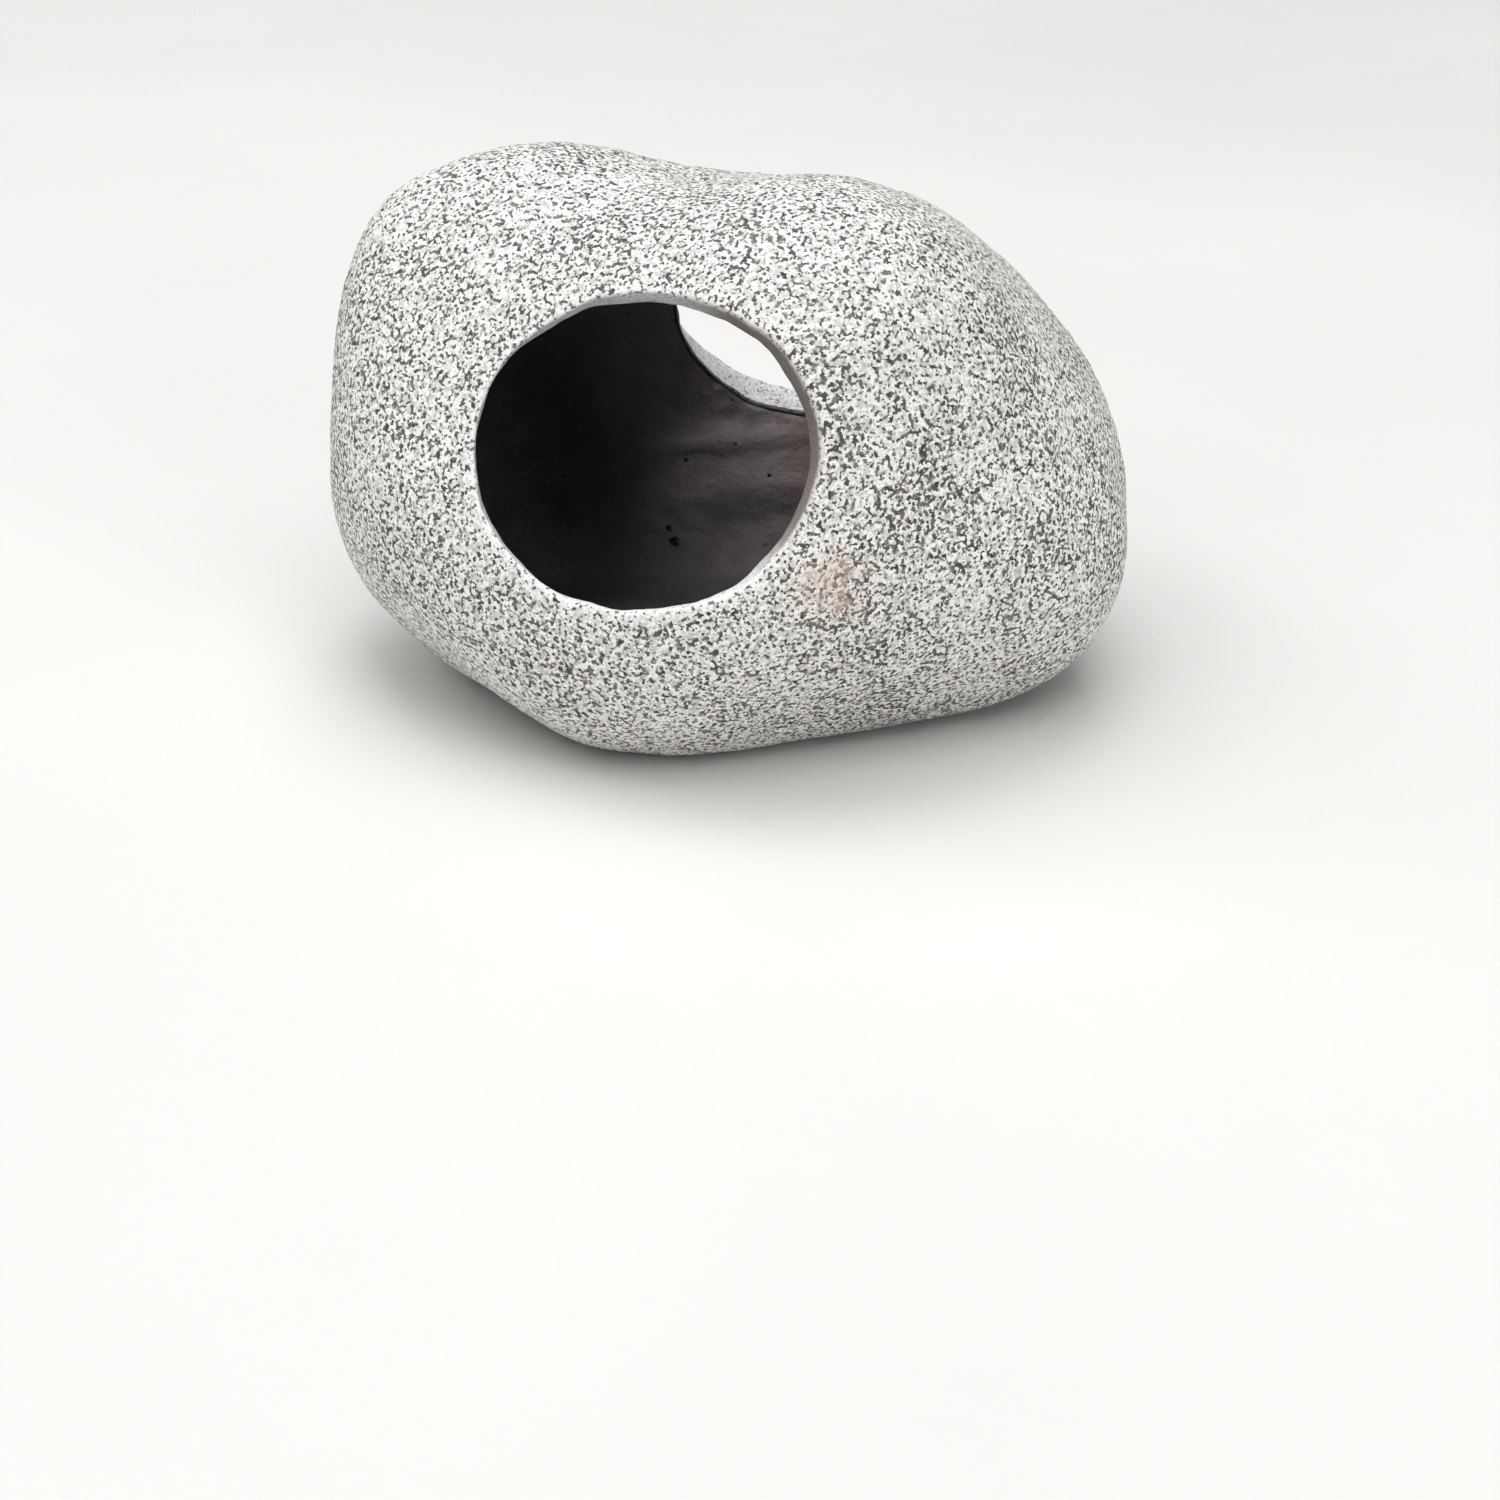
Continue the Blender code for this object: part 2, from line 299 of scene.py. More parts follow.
class Body:
    """A mesh that grows: points, faces, and a number at each point for each named mark."""

    def __init__(self):
        self.points, self.faces, self.marks = np.zeros((0, 3)), [], {}

    def add(self, points, faces=(), **marks):
        """Adds points and faces and returns the number of the first new point."""
        start, size = len(self.points), len(points)
        self.points = np.concatenate((self.points, points))
        self.faces += (np.asarray(faces, int).reshape(-1, 3) + start).tolist()
        for name in set(self.marks) | set(marks):
            old = self.marks.get(name, np.zeros(start))
            self.marks[name] = np.concatenate((old, np.broadcast_to(marks.get(name, 0.0), size)))
        return start

    def join(self, loop, other):
        """Faces between two loops of as many points that run the same way."""
        for i in range(len(loop)):
            a, b, c, d = loop[i], loop[i - 1], other[i - 1], other[i]
            self.faces += [[a, b, c], [a, c, d]]

    def ring(self, loop, points, **marks):
        """Joins a loop to a new ring of as many points, and returns the ring."""
        start = self.add(points, **marks)
        new = list(range(start, start + len(points)))
        self.join(loop, new)
        return new

    def zip(self, loop, other, place):
        """Joins two loops that run opposite ways. place gives each point its place round the loop, 0 to 1."""

        def short_way(gap):
            return (gap + 0.5) % 1 - 0.5

        def travel(places, start):
            steps = rise * short_way(np.roll(places, -1) - places)
            return np.concatenate(([0], np.cumsum(steps))) + start

        other = other[::-1]
        first, second = place(self.points[loop]), place(self.points[other])
        rise = 1 if short_way(np.roll(first, -1) - first).sum() > 0 else -1
        turn = int(np.argmin(np.abs(short_way(second - first[0]))))
        other, second = other[turn:] + other[:turn], np.roll(second, -turn)
        a, b = travel(first, 0), travel(second, rise * short_way(second[0] - first[0]))
        i = j = 0
        n, m = len(loop), len(other)
        while i < n or j < m:
            if j == m or (i < n and a[i + 1] <= b[j + 1]):
                self.faces.append([loop[(i + 1) % n], loop[i % n], other[j % m]])
                i += 1
            else:
                self.faces.append([loop[i % n], other[j % m], other[(j + 1) % m]])
                j += 1

    def roughen(self, amount):
        """Moves each point along its normal by what amount gives for it."""
        faces = np.array(self.faces)
        corners = self.points[faces]
        normal = np.cross(corners[:, 1] - corners[:, 0], corners[:, 2] - corners[:, 0])
        total = np.zeros_like(self.points)
        for i in range(3):
            np.add.at(total, faces[:, i], normal)
        self.points = self.points + unit(total + 1e-12) * amount(self.points)[:, None]

    def build(self, name, material):
        """Makes the object, in metres, held inside the CAD model's box."""
        mesh = bpy.data.meshes.new(name)
        low, high = np.array(cad_low) + INSIDE, np.array(cad_high) - INSIDE
        points = np.clip((self.points + CENTRE) / 1000, low, high)
        mesh.from_pydata(points.tolist(), [], self.faces)
        mesh.shade_smooth()
        mesh.set_sharp_from_angle(angle=radians(48))
        for mark, values in self.marks.items():
            mesh.attributes.new(mark, "FLOAT", "POINT").data.foreach_set("value", values)
        mesh.materials.append(material)
        thing = bpy.data.objects.new(name, mesh)
        bpy.context.scene.collection.objects.link(thing)
        return thing


class Doorway:
    """A slanted oval doorway. q is half its height across its axis, in millimetres."""

    def __init__(self, at, axis, radius, widen, seed):
        outward = direction(*at)
        self.middle = free_radius(outward[None])[0] * outward
        self.axis = direction(*axis)
        self.across = unit(np.cross((0, 0, 1), self.axis))
        self.up = np.cross(self.axis, self.across)
        self.radius, self.widen, self.seed = radius, widen, seed
        sample = np.linspace(-pi, pi, 720, endpoint=False)
        q, angle, _ = self.polar(self.inner(self.corner(sample)))
        order = np.argsort(angle)
        self.inner_q, self.inner_angle = q[order], angle[order]

    def polar(self, points):
        """q, angle and depth along the axis of each point."""
        from_middle = points - self.middle
        x, y = from_middle @ self.across / self.widen, from_middle @ self.up
        return np.hypot(x, y), np.arctan2(y, x), from_middle @ self.axis

    def rim(self, angle):
        """q of the outer edge, which was trimmed by hand and so isn't quite even."""
        rng = np.random.RandomState(self.seed)
        wobble = sum(
            size * np.cos(k * angle + rng.uniform(0, 2 * pi))
            for k, size in ((3, 0.16), (5, 0.12), (7, 0.12), (11, 0.08), (16, 0.06), (23, 0.04))
        )
        return self.radius + wobble

    def inner_rim(self, angle):
        """q of the cut face's inner edge."""
        return np.interp(angle, self.inner_angle, self.inner_q, period=2 * pi)

    def corner(self, angle):
        """Where the passage's outer edge would meet the coat's face, if the edge weren't rounded."""
        q = self.rim(angle)
        sideways = (q * self.widen * np.cos(angle))[:, None] * self.across
        plane = self.middle + sideways + (q * np.sin(angle))[:, None] * self.up
        at = lambda depth: plane + depth[:, None] * self.axis
        return turning_points(len(angle), *EDGE_REACH, at, is_inside(coat_face))

    def inward(self, corner):
        """Directions that the cut face runs in: the passage's own, turned where that would slit the wall."""
        normal = normal_of(corner)
        lean = normal @ self.axis
        side = unit(self.axis - lean[:, None] * normal + 1e-9)
        turned = cos(MOST_SLANT) * normal + sin(MOST_SLANT) * side
        return -np.where((lean < cos(MOST_SLANT))[:, None], turned, self.axis)

    def inner(self, corner):
        """Where the cut face that starts at each corner ends, on the cave's face."""
        inward, in_cave = self.inward(corner), is_inside(cavity)
        at = lambda depth: corner + depth[:, None] * inward
        return turning_points(len(corner), 0.0, CUT_REACH, at, lambda points: ~in_cave(points))

    def field(self, rim, grow):
        """A function of points that is zero round the passage, at rim and grow more, and positive outside."""
        well_outside = 9.0

        def value(points):
            q, angle, depth = self.polar(points)
            return np.where(depth > -OTHER_SIDE, q - rim(angle) - grow, well_outside)

        return value

    def place(self, points):
        return self.polar(points)[1] / (2 * pi) % 1

    def has(self, points):
        """True if a loop of points is this passage's."""
        middle = points.mean(0) - self.middle
        return bool(np.linalg.norm(middle) < self.radius)


def on_levels(surface, azimuth, z):
    """Where a surface crosses a level, at each azimuth about CENTRE. z is one number or one for each."""
    steepest = 1.45  # radians above or below CENTRE

    def at(elevation):
        flat = np.cos(elevation)
        return surface(np.stack((flat * np.cos(azimuth), flat * np.sin(azimuth), np.sin(elevation)), axis=1))

    below = lambda points: points[:, 2] + CENTRE[2] < z
    points = turning_points(len(azimuth), -steepest, steepest, at, below)
    points[:, 2] = z - CENTRE[2]
    return points


def azimuth_of(points):
    return np.arctan2(points[:, 1], points[:, 0])


def bearing(points):
    return azimuth_of(points) / (2 * pi) % 1


def level_field(z, side):
    """A function of points that is zero on a level, and positive above it, side 1, or below it, side -1."""
    return lambda points: side * (points[:, 2] + CENTRE[2] - z)


def inset_level(points, inset, z):
    """The loop's points moved to a depth below the boulder's surface, on a level."""
    return on_levels(lambda u: skin(u, inset), azimuth_of(points), z)


# ---- materials ---------------------------------------------------------------------------------------------
class Nodes:
    """Short hand for a material's node tree. Its coordinates are millimetres in the object's own frame."""

    def __init__(self, name):
        self.material = bpy.data.materials.new(name)
        self.material.use_nodes = True
        self.tree = self.material.node_tree
        self.shader = self.tree.nodes["Principled BSDF"]
        place = self.tree.nodes.new("ShaderNodeTexCoord").outputs["Object"]
        self.mm = self.vector("SCALE", place, scale=1000.0)

    def link(self, source, socket):
        if isinstance(source, bpy.types.NodeSocket):
            self.tree.links.new(source, socket)
        elif source is not None:
            socket.default_value = source

    def node(self, kind, inputs=(), **settings):
        made = self.tree.nodes.new(kind)
        for key, value in settings.items():
            setattr(made, key, value)
        for key, value in dict(inputs).items():
            self.link(value, made.inputs[key])
        return made

    def vector(self, operation, first, second=None, scale=None):
        made = self.node("ShaderNodeVectorMath", {0: first, 1: second}, operation=operation)
        if scale is not None:
            self.link(scale, made.inputs["Scale"])
        return made.outputs["Value" if operation == "DISTANCE" else "Vector"]

    def math(self, operation, first, second=None, third=None):
        made = self.node("ShaderNodeMath", {0: first, 1: second}, operation=operation)
        if third is not None:
            self.link(third, made.inputs[2])
        return made.outputs[0]

    def noise(self, size, detail=2.0, roughness=0.5, where=None):
        """Noise from 0 to 1 whose features are about size millimetres."""
        inputs = {"Vector": where or self.mm, "Scale": 1 / size, "Detail": detail, "Roughness": roughness}
        return self.node("ShaderNodeTexNoise", inputs).outputs["Fac"]

    def spread(self, value, low, high, to_low=0.0, to_high=1.0, smooth=True):
        """to_low where value is at low or past it, to_high at high or past it, and a blend between."""
        inputs = {"Value": value, "From Min": low, "From Max": high, "To Min": to_low, "To Max": to_high}
        kind = "SMOOTHSTEP" if smooth else "LINEAR"
        return self.node("ShaderNodeMapRange", inputs, interpolation_type=kind).outputs["Result"]

    def ramp(self, value, *stops):
        """The colour of each stop, a place from 0 to 1 and a colour, blended between stops."""
        made = self.node("ShaderNodeValToRGB", {"Fac": value})
        row = made.color_ramp.elements
        while len(row) < len(stops):
            row.new(0.5)
        for element, (at, colour) in zip(row, stops):
            element.position, element.color = at, (*colour, 1)
        return made.outputs["Color"]

    def mix(self, amount, first, second, blend="MIX"):
        made = self.node("ShaderNodeMix", data_type="RGBA", blend_type=blend, clamp_factor=True)
        for socket, value in zip((made.inputs[0], made.inputs[6], made.inputs[7]), (amount, first, second)):
            self.link((*value, 1) if isinstance(value, tuple) else value, socket)
        return made.outputs[2]

    def near(self, spot, reach, soft=0.6):
        """1 at a spot in the part's frame, falling to 0 at reach millimetres from it."""
        gap = self.vector("DISTANCE", self.mm, spot)
        return self.spread(gap, reach, reach * (1 - soft))

    def mark(self, name):
        """A number that a piece's mesh carries at its points."""
        return self.node("ShaderNodeAttribute", attribute_name=name).outputs["Fac"]

    def finish(self, colour, roughness, height, depth, specular=0.5):
        """Wires the shader. height is in millimetres times depth."""
        self.link(colour, self.shader.inputs["Base Color"])
        self.link(roughness, self.shader.inputs["Roughness"])
        self.shader.inputs["Specular IOR Level"].default_value = specular
        bump = self.node("ShaderNodeBump", {"Height": height, "Strength": 1.0, "Distance": depth / 1000})
        self.link(bump.outputs["Normal"], self.shader.inputs["Normal"])
        return self.material


def granite_coat():
    """Pale ground with dense dark flecks, sprayed on. Sparser and paler on the doorways' rounded edges, most
    on the lower ones: a painted highlight where they catch light from above.
    """
    n = Nodes("granite_fleck_coat")
    dot_spacing = 1.0
    lip, lining = n.mark("lip"), n.mark("lining")
    z = n.node("ShaderNodeSeparateXYZ", {0: n.mm}).outputs["Z"]
    # Painted highlight: fewer flecks on the rounded edges, most where they lie low and face up to the light.
    lip_highlight = n.math("MULTIPLY", lip, n.spread(z, 66.0, 46.0, 0.15, 1.0))
    # Flecks: a fine noise whose dark valleys are the flecks. The level follows soft patches.
    patches = n.noise(17, 2, 0.5)
    warp = n.node("ShaderNodeTexNoise", {"Vector": n.mm, "Scale": 1 / 3.0, "Detail": 1.0}).outputs["Color"]
    warped = n.vector("ADD", n.mm, n.vector("SCALE", warp, scale=0.7))
    worms = n.noise(0.80, 1.2, 0.55, warped)
    level = n.math("MULTIPLY", n.math("SUBTRACT", patches, 0.5), 0.16)
    level = n.math("SUBTRACT", level, n.math("MULTIPLY", lip_highlight, 0.05))
    level = n.math("SUBTRACT", level, n.math("MULTIPLY", lining, 0.06))
    level = n.math("SUBTRACT", level, n.spread(z, 66.0, 96.0, 0.0, 0.012))
    valley = n.math("SUBTRACT", worms, level)
    ground = n.ramp(
        n.noise(0.55, 1.0, 0.5),
        (0.30, (0.62, 0.60, 0.585)), (0.50, (0.87, 0.85, 0.83)), (0.68, (0.96, 0.95, 0.93)),
    )
    fleck = n.ramp(
        n.noise(1.9, 1.0),
        (0.30, (0.032, 0.029, 0.028)), (0.55, (0.082, 0.074, 0.069)), (0.75, (0.19, 0.168, 0.152)),
    )
    dark = n.spread(valley, 0.500, 0.400)
    # Separate dots between them, each with its own size.
    cells = n.node("ShaderNodeTexVoronoi", {"Vector": warped, "Scale": 1 / dot_spacing, "Randomness": 1.0})
    chance = n.node("ShaderNodeSeparateColor", {0: cells.outputs["Color"]}).outputs[0]
    size = n.math("MULTIPLY_ADD", chance, 0.34, 0.02)
    size = n.math("SUBTRACT", size, n.math("MULTIPLY", lining, 0.10))
    dot = n.spread(n.math("SUBTRACT", cells.outputs["Distance"], size), 0.05, -0.05)
    dark = n.math("MAXIMUM", dark, n.math("MULTIPLY", dot, 0.92))
    colour = n.mix(dark, ground, fleck)
    # Half-buried grey flecks under the ground, fewer on the rounded edges as part of their painted highlight.
    elsewhere = n.vector("ADD", n.mm, (37.0, 11.0, 5.0))
    veiled = n.spread(n.noise(1.15, 1.0, 0.5, elsewhere), 0.50, 0.38, 0.0, 0.40)
    colour = n.mix(n.math("MULTIPLY", veiled, n.spread(lip, 0, 1, 1.0, 0.3)), colour, (0.30, 0.29, 0.275))
    # Painted shade: the coat darkens a little towards the crest, to take down the light that falls on the top.
    colour = n.mix(n.spread(z, 48.0, 84.0, 0.0, 0.16), colour, (0.03, 0.03, 0.03))
    # Stains: a faint rust bloom low on the front, and a rust pit at the right end.
    bloom = n.math("MULTIPLY", n.near((-4.0, -59.0, 42.0), 9.0, 0.8), n.spread(n.noise(3.0, 2), 0.4, 0.62))
    colour = n.mix(n.math("MULTIPLY", bloom, 0.55), colour, (0.70, 0.53, 0.40))
    rust = n.math("MULTIPLY", n.near((55.0, 24.0, 72.0), 2.6, 0.7), n.spread(n.noise(1.2, 2), 0.40, 0.55))
    colour = n.mix(rust, colour, (0.16, 0.075, 0.035))
    # Cut faces are paler. The front doorway's is darkened to brown on its right side, painted shade where that
    # face turns from the light, and each ends on a dark edge.
    colour = n.mix(n.math("MULTIPLY", lining, 0.35), colour, (0.80, 0.81, 0.83))
    front_cut_shade = n.math("MULTIPLY", lining, n.near((1.0, -51.0, 73.0), 37.0, 0.40))
    colour = n.mix(n.math("MULTIPLY", front_cut_shade, 0.85), colour, (0.16, 0.135, 0.115))
    colour = n.mix(n.mark("inner_edge"), colour, (0.020, 0.018, 0.018))
    fine, broad = n.noise(0.45, 2, 0.6), n.noise(1.6, 2)
    grain = n.math("ADD", n.math("MULTIPLY", fine, 0.6), n.math("MULTIPLY", broad, 0.6))
    grain = n.math("SUBTRACT", grain, n.math("MULTIPLY", dark, 0.25))
    rough = n.spread(worms, 0.3, 0.7, 0.62, 0.86, smooth=False)
    return n.finish(colour, rough, grain, 0.22, 0.35)


def cast_resin():
    """Charcoal casting resin, with a brown cast in places, pinholes and fine dust, and light and shade painted
    on inside the cave.
    """
    n = Nodes("charcoal_cast_resin")
    blotch = n.noise(26, 3, 0.55)
    colour = n.ramp(
        blotch, (0.34, (0.130, 0.119, 0.122)), (0.50, (0.165, 0.150, 0.150)), (0.66, (0.205, 0.183, 0.174)),
    )
    # Painted shade: darker to the left, where little light gets into the cave. A warm brown cast below the
    # back doorway.
    place = n.node("ShaderNodeSeparateXYZ", {0: n.mm})
    along = n.math("MULTIPLY_ADD", n.noise(22, 2), 16.0, place.outputs["X"])
    colour = n.mix(n.spread(along, 16.0, -20.0, 0.0, 0.80), colour, (0.022, 0.019, 0.024))
    # Painted light: a pale patch on the far wall below the back doorway, where light falls inside the cave.
    pale = n.math("MULTIPLY", n.near((24.0, 44.0, 31.0), 42.0, 0.95), n.spread(n.noise(12, 2), 0.22, 0.50))
    colour = n.mix(n.math("MULTIPLY", pale, 0.85), colour, (0.37, 0.332, 0.330))
    # Painted light: a pale patch on the cave's floor near the front doorway.
    painted_floor_light = n.math("MULTIPLY", n.near((-8.0, -16.0, 7.0), 46.0, 0.9), n.spread(n.noise(6, 3), 0.25, 0.60))
    colour = n.mix(n.math("MULTIPLY", painted_floor_light, 0.80), colour, (0.42, 0.41, 0.385))
    warm = n.math("MULTIPLY", n.near((36.0, 38.0, 24.0), 21.0, 0.9), n.spread(n.noise(9, 2), 0.32, 0.60))
    colour = n.mix(n.math("MULTIPLY", warm, 0.62), colour, (0.270, 0.160, 0.135))
    # Painted shade: a dark band low on the far wall, where it bends into the floor.
    height = n.math("MULTIPLY_ADD", n.noise(14, 2), 5.0, place.outputs["Z"])
    painted_corner_shade = n.math("MULTIPLY", n.spread(height, 13.5, 18.0), n.spread(height, 23.0, 19.0))
    painted_corner_shade = n.math("MULTIPLY", painted_corner_shade, n.near((26.0, 37.0, 16.0), 34.0, 0.8))
    colour = n.mix(n.math("MULTIPLY", painted_corner_shade, 0.72), colour, (0.035, 0.028, 0.028))
    dust = n.spread(n.noise(0.8, 2, 0.6), 0.56, 0.74)
    colour = n.mix(n.math("MULTIPLY", dust, 0.35), colour, (0.17, 0.165, 0.155))
    # Pinholes all over, and two larger pits low on the far wall: painted shade, near-black inside each, and
    # dented by the bump.
    hole_spacing = 4.5
    holes = n.node("ShaderNodeTexVoronoi", {"Vector": n.mm, "Scale": 1 / hole_spacing, "Randomness": 1.0})
    chosen = n.node("ShaderNodeSeparateColor", {0: holes.outputs["Color"]}).outputs[1]
    hole = n.math("MULTIPLY", n.spread(holes.outputs["Distance"], 0.13, 0.05), n.spread(chosen, 0.60, 0.95))
    for spot, reach in (((-0.8, 34.7, 11.4), 1.5), ((-1.2, 37.0, 13.7), 1.0)):
        pit = n.math("MULTIPLY", n.near(spot, reach, 0.5), n.spread(n.noise(1.1, 2), 0.35, 0.5))
        hole = n.math("MAXIMUM", hole, pit)
    colour = n.mix(hole, colour, (0.008, 0.008, 0.008))
    height = n.math("ADD", n.noise(1.3, 4, 0.62), n.math("MULTIPLY", n.noise(7, 2), 1.2))
    height = n.math("SUBTRACT", height, hole)
    return n.finish(colour, n.spread(n.noise(5, 2), 0.3, 0.7, 0.58, 0.82), height, 0.30, 0.4)


def studio_floor():
    n = Nodes("studio_paper")
    colour = n.ramp(n.noise(260, 3, 0.5), (0.35, (0.632, 0.627, 0.614)), (0.65, (0.664, 0.659, 0.645)))
    return n.finish(colour, 0.9, n.noise(40, 3, 0.5), 0.8, 0.2)


# ---- the pieces --------------------------------------------------------------------------------------------
# Cells along each of the six faces that a piece's grid is made of.
FINE = 104
MIDDLE = 68
COARSE = 40
RESIN = cast_resin()
front, back = Doorway(**FRONT), Doorway(**BACK)


def surface_mesh(surface, cells, cuts):
    """A boulder surface on a grid, cut along each field."""
    u, faces = sphere_grid(cells)
    points = surface(u)
    snap = 30 / cells  # about a third of a cell on the boulder
    for field in cuts:
        points, faces = clip(points, faces, surface, field, snap)
    return points, faces


def loops_of(points, faces, doors=(front, back)):
    """The open loops: one for each doorway, in their order, and then the level one."""
    found = open_loops(faces)
    named = [next(loop for loop in found if door.has(points[loop])) for door in doors]
    return named + [loop for loop in found if loop not in named]


def coat_piece():
    """The coat: its face, each doorway's rounded edge and cut face, and the hem. It carries three marks: lip
    on the rounded edges, lining on the cut faces, and inner_edge where those end inside the cave."""
    body = Body()
    cuts = [level_field(HEM_Z, 1)] + [door.field(door.rim, LIP) for door in (front, back)]
    points, faces = surface_mesh(coat_face, FINE, cuts)
    edge = np.minimum(cuts[1](points), cuts[2](points))
    body.add(points, faces, lip=np.exp(-np.maximum(edge, 0) / LIP_FADE))
    loops = loops_of(points, faces)
    for door, loop in zip((front, back), loops):
        start = points[loop]
        corner = door.corner(door.polar(start)[1])
        inner = door.inner(corner)
        turn = corner + LIP * door.inward(corner)
        ring = loop
        for t in np.arange(1, LIP_STEPS + 1) / LIP_STEPS:
            bent = (1 - t) ** 2 * start + 2 * t * (1 - t) * corner + t * t * turn
            ring = body.ring(ring, bent, lip=1.0, lining=0.6 * t)
        for i in range(1, CUT_STEPS + 1):
            ring = body.ring(ring, turn + (inner - turn) * i / CUT_STEPS, lip=0.55, lining=1.0)
        end = slide(inner, cavity, door.field(door.inner_rim, COAT))
        ring = body.ring(ring, end, lip=0.5, lining=1.0, inner_edge=1.0)
        body.ring(ring, end - TUCK * door.inward(corner), lip=0.5, lining=1.0, inner_edge=1.0)
    hem = loops[2]
    ring = body.ring(hem, inset_level(points[hem], COAT, HEM_Z))
    body.ring(ring, inset_level(points[hem], COAT, HEM_Z + HEM_TUCK))
    body.roughen(lambda p: 0.035 * waves(p, 3.1, 60, 31) + 0.05 * waves(p, 7.5, 50, 32))
    return body.build("coat", granite_coat())


def pits(points):
    """Bubbles left in the casting's inner face."""
    rng = np.random.RandomState(44)
    depth = np.zeros(len(points))
    spots = cavity(unit(rng.normal(size=(46, 3))))
    for spot, size in zip(spots, rng.uniform(0.7, 1.6, len(spots))):
        gap = np.linalg.norm(points - spot, axis=1)
        depth += 0.7 * size * np.exp(-((gap / size) ** 2))
    return depth


def away_from_seam(points):
    """0 at the seam, where the castings were rubbed flush, rising to 1 a few millimetres from it."""
    return 1 - np.exp(-(((points[:, 2] + CENTRE[2] - SEAM_Z) / 4.5) ** 2))


def casting(name, z, side, profile, doors):
    """One casting, from its outer face round the seam's profile, given as (depth, z), to the cave's face."""
    body = Body()
    at_seam = [level_field(z, side)]
    outer_cuts = at_seam + [door.field(door.rim, UNDER_COAT) for door in doors]
    inner_cuts = at_seam + [door.field(door.inner_rim, UNDER_COAT) for door in doors]
    outer, outer_faces = surface_mesh(casting_face, COARSE, outer_cuts)
    inner, inner_faces = surface_mesh(cavity, MIDDLE, inner_cuts)
    body.add(outer, outer_faces, cave=0.0)
    outer_loops = loops_of(outer, outer_faces, doors)
    start = body.add(inner, inner_faces[:, ::-1], cave=1.0)
    inner_loops = [[v + start for v in loop] for loop in loops_of(inner, inner_faces[:, ::-1], doors)]
    for door, ring, other in zip(doors, outer_loops, inner_loops):
        body.zip(ring, other, door.place)
    ring = outer_loops[-1]
    around = outer[ring]
    for depth, level in profile:
        ring = body.ring(ring, inset_level(around, depth, level))
    body.zip(ring, inner_loops[-1], bearing)

    def texture(points):
        grain = 0.10 * waves(points, 5.0, 50, 41) + 0.05 * waves(points, 2.6, 60, 42)
        return body.marks["cave"] * away_from_seam(points) * (grain - pits(points))

    body.roughen(texture)
    return body.build(name, RESIN)


def seam_resin_piece():
    """The resin in the groove under the rib, and the resin wiped along the seam inside the cave."""
    body = Body()
    around = np.linspace(-pi, pi, RING_POINTS, endpoint=False)
    circle = np.stack((np.cos(around), np.sin(around), 0 * around), axis=1)
    in_groove = inset_level(circle, TONGUE[0], BEAD_Z[0])
    start = body.add(in_groove)
    first = ring = list(range(start, start + RING_POINTS))
    for depth, z in ((TONGUE[0], BEAD_Z[1]), (TONGUE[1], BEAD_Z[1]), (TONGUE[1], BEAD_Z[0])):
        ring = body.ring(ring, inset_level(circle, depth, z))
    body.join(ring, first)
    # The wiped band is arched across its width, s from -1 to 1, and its width wanders along the seam.
    azimuth = azimuth_of(in_groove)
    width = SMEAR_WIDTH * (1 + 0.25 * waves(in_groove, 17, 30, 51))
    bands = []
    for s in np.linspace(-1, 1, 9):
        proud = SMEAR_HEIGHT * (1 - s * s) - SMEAR_SUNK
        bands.append(on_levels(cavity, azimuth, SEAM_Z + s * width) - proud * unit(in_groove))
    start = body.add(bands[0])
    first = ring = list(range(start, start + RING_POINTS))
    for points in bands[1:]:
        ring = body.ring(ring, points)
    ring = body.ring(ring, on_levels(lambda u: cavity(u) + SMEAR_ROOT * u, azimuth, SEAM_Z))
    body.join(ring, first)
    return body.build("seam_resin", RESIN)


coat = coat_piece()
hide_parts("stone_coat")

upper_z, base_z = SEAM_Z + FIT / 2, SEAM_Z - FIT / 2
groove = (TONGUE[0] - FIT, TONGUE[1] + FIT)
upper = casting(
    "upper_casting", upper_z, 1,
    ((TONGUE[0], upper_z), (TONGUE[0], TONGUE_Z), (TONGUE[1], TONGUE_Z), (TONGUE[1], upper_z)),
    (front, back),
)
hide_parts("upper_shell")
base = casting(
    "base_casting", base_z, -1,
    ((groove[0], base_z), (groove[0], GROOVE_Z), (groove[1], GROOVE_Z), (groove[1], base_z)),
    (),
)
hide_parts("base_shell")

bead = seam_resin_piece()
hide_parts("seam_bead")
for piece in (coat, upper, base, bead):
    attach(piece, "root")

# ---- studio, in metres -------------------------------------------------------------------------------------
FLOOR_REACH = 2.2


def floor_piece():
    """A flat disc of rings that are closer together near the object."""
    rings, spokes = 40, 96
    angles = [2 * pi * s / spokes for s in range(spokes)]
    points = [(0.0, 0.0, 0.0)]
    for r in range(1, rings + 1):
        reach = FLOOR_REACH * (r / rings) ** 2
        points += [(reach * cos(angle), reach * sin(angle), 0.0) for angle in angles]
    faces = [(0, 1 + s, 1 + (s + 1) % spokes) for s in range(spokes)]
    for r in range(rings - 1):
        inner, outer = 1 + r * spokes, 1 + (r + 1) * spokes
        for s in range(spokes):
            after = (s + 1) % spokes
            faces.append((inner + s, outer + s, outer + after, inner + after))
    mesh = bpy.data.meshes.new("studio_floor")
    mesh.from_pydata(points, [], faces)
    mesh.materials.append(studio_floor())
    thing = bpy.data.objects.new("studio_floor", mesh)
    bpy.context.scene.collection.objects.link(thing)
    return thing


studio = floor_piece()

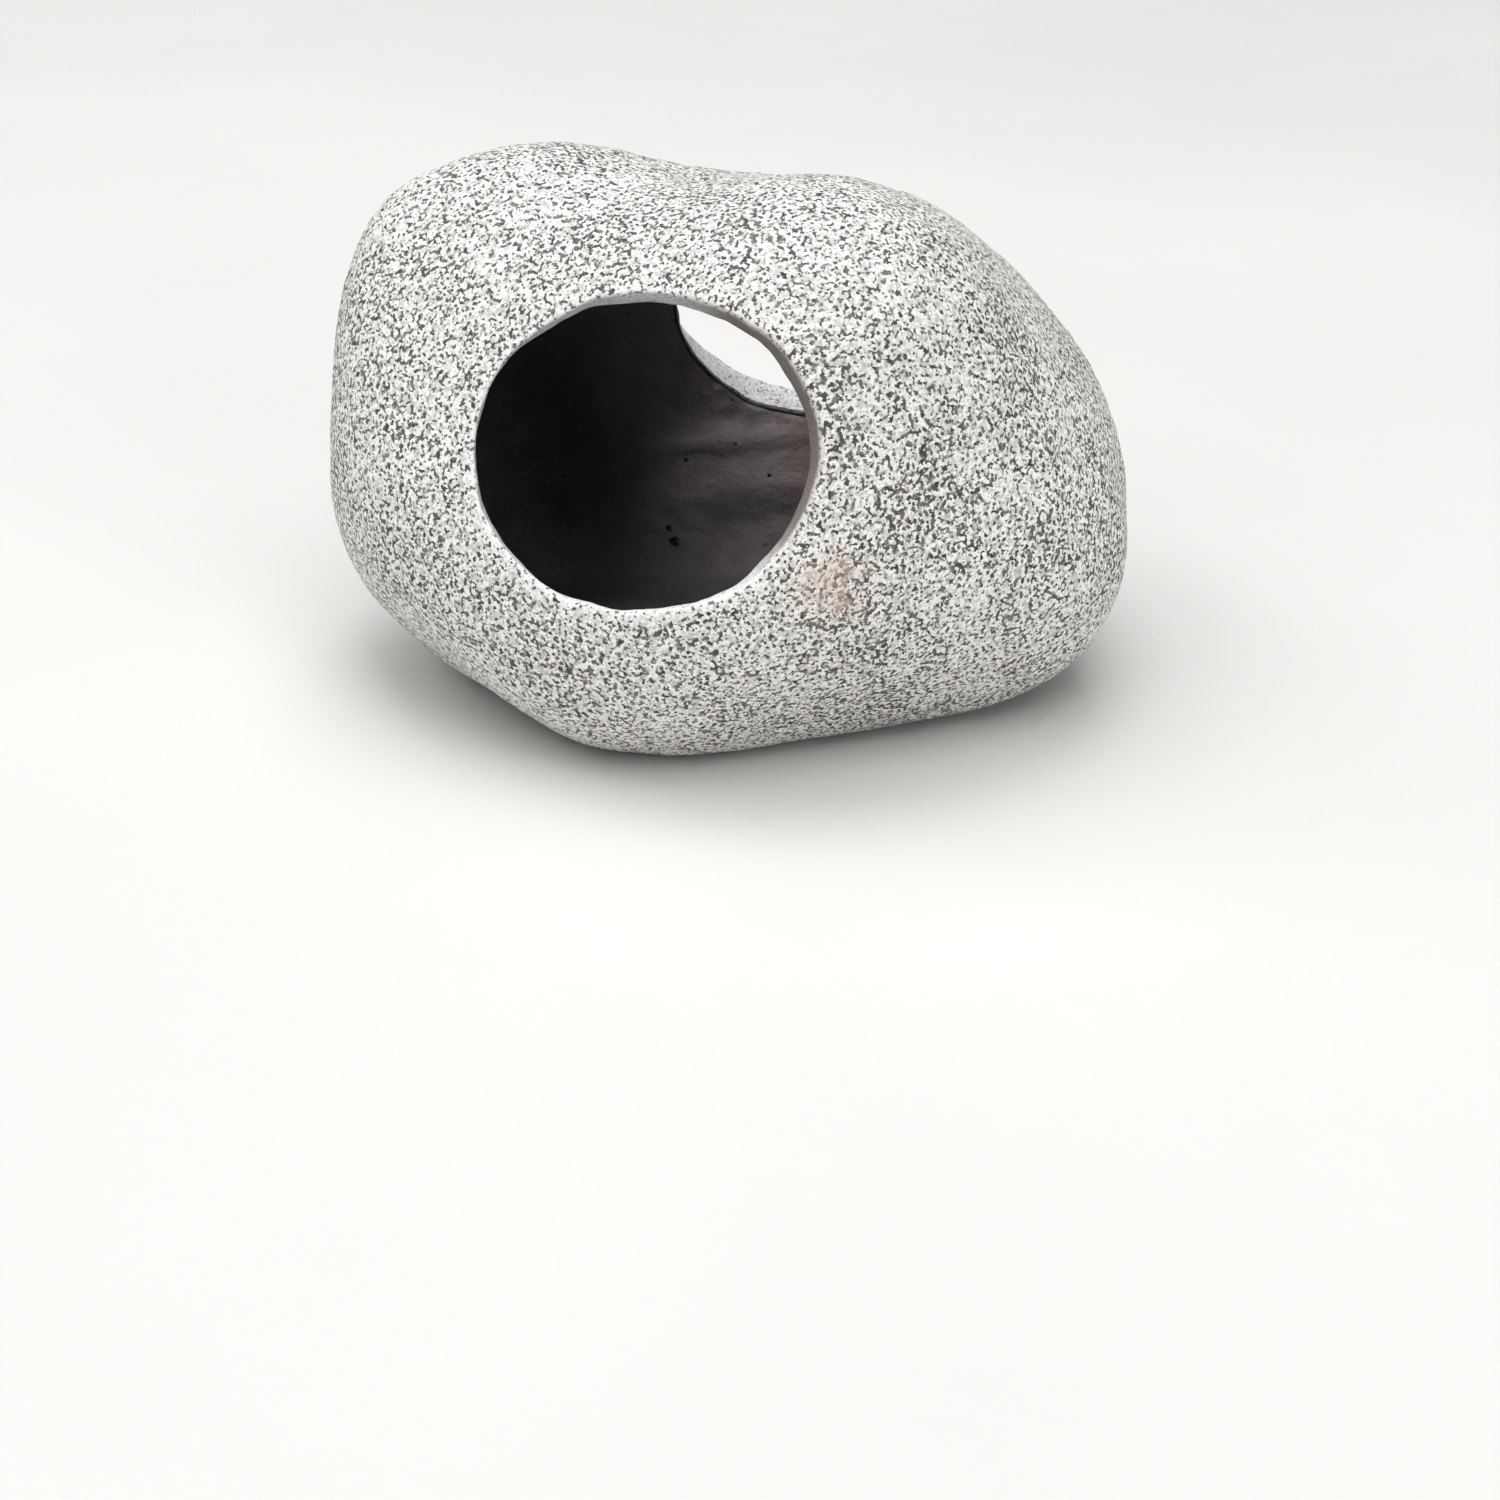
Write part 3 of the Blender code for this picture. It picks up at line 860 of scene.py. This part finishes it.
# The world is dark, with a narrow pale band at the horizon behind the paper's far edge.
world = bpy.data.worlds.new("studio")
bpy.context.scene.world = world
world.use_nodes = True
sky = world.node_tree
background = sky.nodes["Background"]
position = sky.nodes.new("ShaderNodeTexCoord")
split = sky.nodes.new("ShaderNodeSeparateXYZ")
fade = sky.nodes.new("ShaderNodeValToRGB")
sky.links.new(position.outputs["Generated"], split.inputs[0])
sky.links.new(split.outputs["Z"], fade.inputs["Fac"])
sky.links.new(fade.outputs["Color"], background.inputs["Color"])
pale, dark = fade.color_ramp.elements
pale.position, pale.color = 0.07, (0.80, 0.765, 0.72, 1)
dark.position, dark.color = 0.13, (0.03, 0.03, 0.03, 1)

LIGHT_DISTANCE = 2.4


def softbox(name, azimuth, elevation, size, power):
    """A square light that faces the object. Azimuth runs as in the part's frame: -90 is in front."""
    light = bpy.data.lights.new(name, "AREA")
    light.shape, light.size, light.energy = "SQUARE", size, power
    box = bpy.data.objects.new(name, light)
    target = Vector((0, 0, 0.04))
    box.location = target + Vector(direction(azimuth, elevation)) * LIGHT_DISTANCE
    box.rotation_euler = (target - box.location).to_track_quat("-Z", "Y").to_euler()
    bpy.context.scene.collection.objects.link(box)


for name, azimuth, elevation, size, power in (
    ("overhead", 0, 89, 1.6, 25.0),
    ("top_behind", 80, 72, 1.6, 20.0),
    ("behind_left", 145, 50, 1.4, 20.0),
    ("front_high", -90, 60, 1.2, 22.0),
    ("left_high", -165, 50, 1.4, 7.0),
    ("left_low", -140, 35, 1.4, 6.0),
    ("front_low", -75, 25, 0.8, 8.0),
    ("right_high", -45, 45, 1.2, 3.5),
):
    softbox(name, azimuth, elevation, size, power)

# ---- camera ------------------------------------------------------------------------------------------------
bpy.context.scene.view_settings.view_transform = "Standard"
VIEW_AZIMUTH, VIEW_ELEVATION, VIEW_DISTANCE = -18.8, 21.4, 0.4668  # from CENTRE, in degrees and metres
LENS = 59.16
AIM_RIGHT, AIM_DOWN = 0.0286, 0.1261  # tangents of how far to the right of CENTRE and below it the camera aims

target = Vector(CENTRE) / 1000
a, e = radians(VIEW_AZIMUTH), radians(VIEW_ELEVATION)
out = Vector((sin(a) * cos(e), -cos(a) * cos(e), sin(e)))
camera = bpy.data.objects.new("camera", bpy.data.cameras.new("camera"))
camera.location = target + out * VIEW_DISTANCE
look = -out
for _ in range(6):
    turn = look.to_track_quat("-Z", "Y")
    right, up = turn @ Vector((1, 0, 0)), turn @ Vector((0, 1, 0))
    to_target = (target - camera.location).normalized()
    depth = to_target.dot(look)
    look = (to_target + depth * (AIM_RIGHT * right - AIM_DOWN * up)).normalized()
camera.rotation_euler = look.to_track_quat("-Z", "Y").to_euler()
camera.data.sensor_width, camera.data.lens = 36.0, LENS
camera.data.clip_start, camera.data.clip_end = 0.01, 20
bpy.context.scene.collection.objects.link(camera)
bpy.context.scene.camera = camera
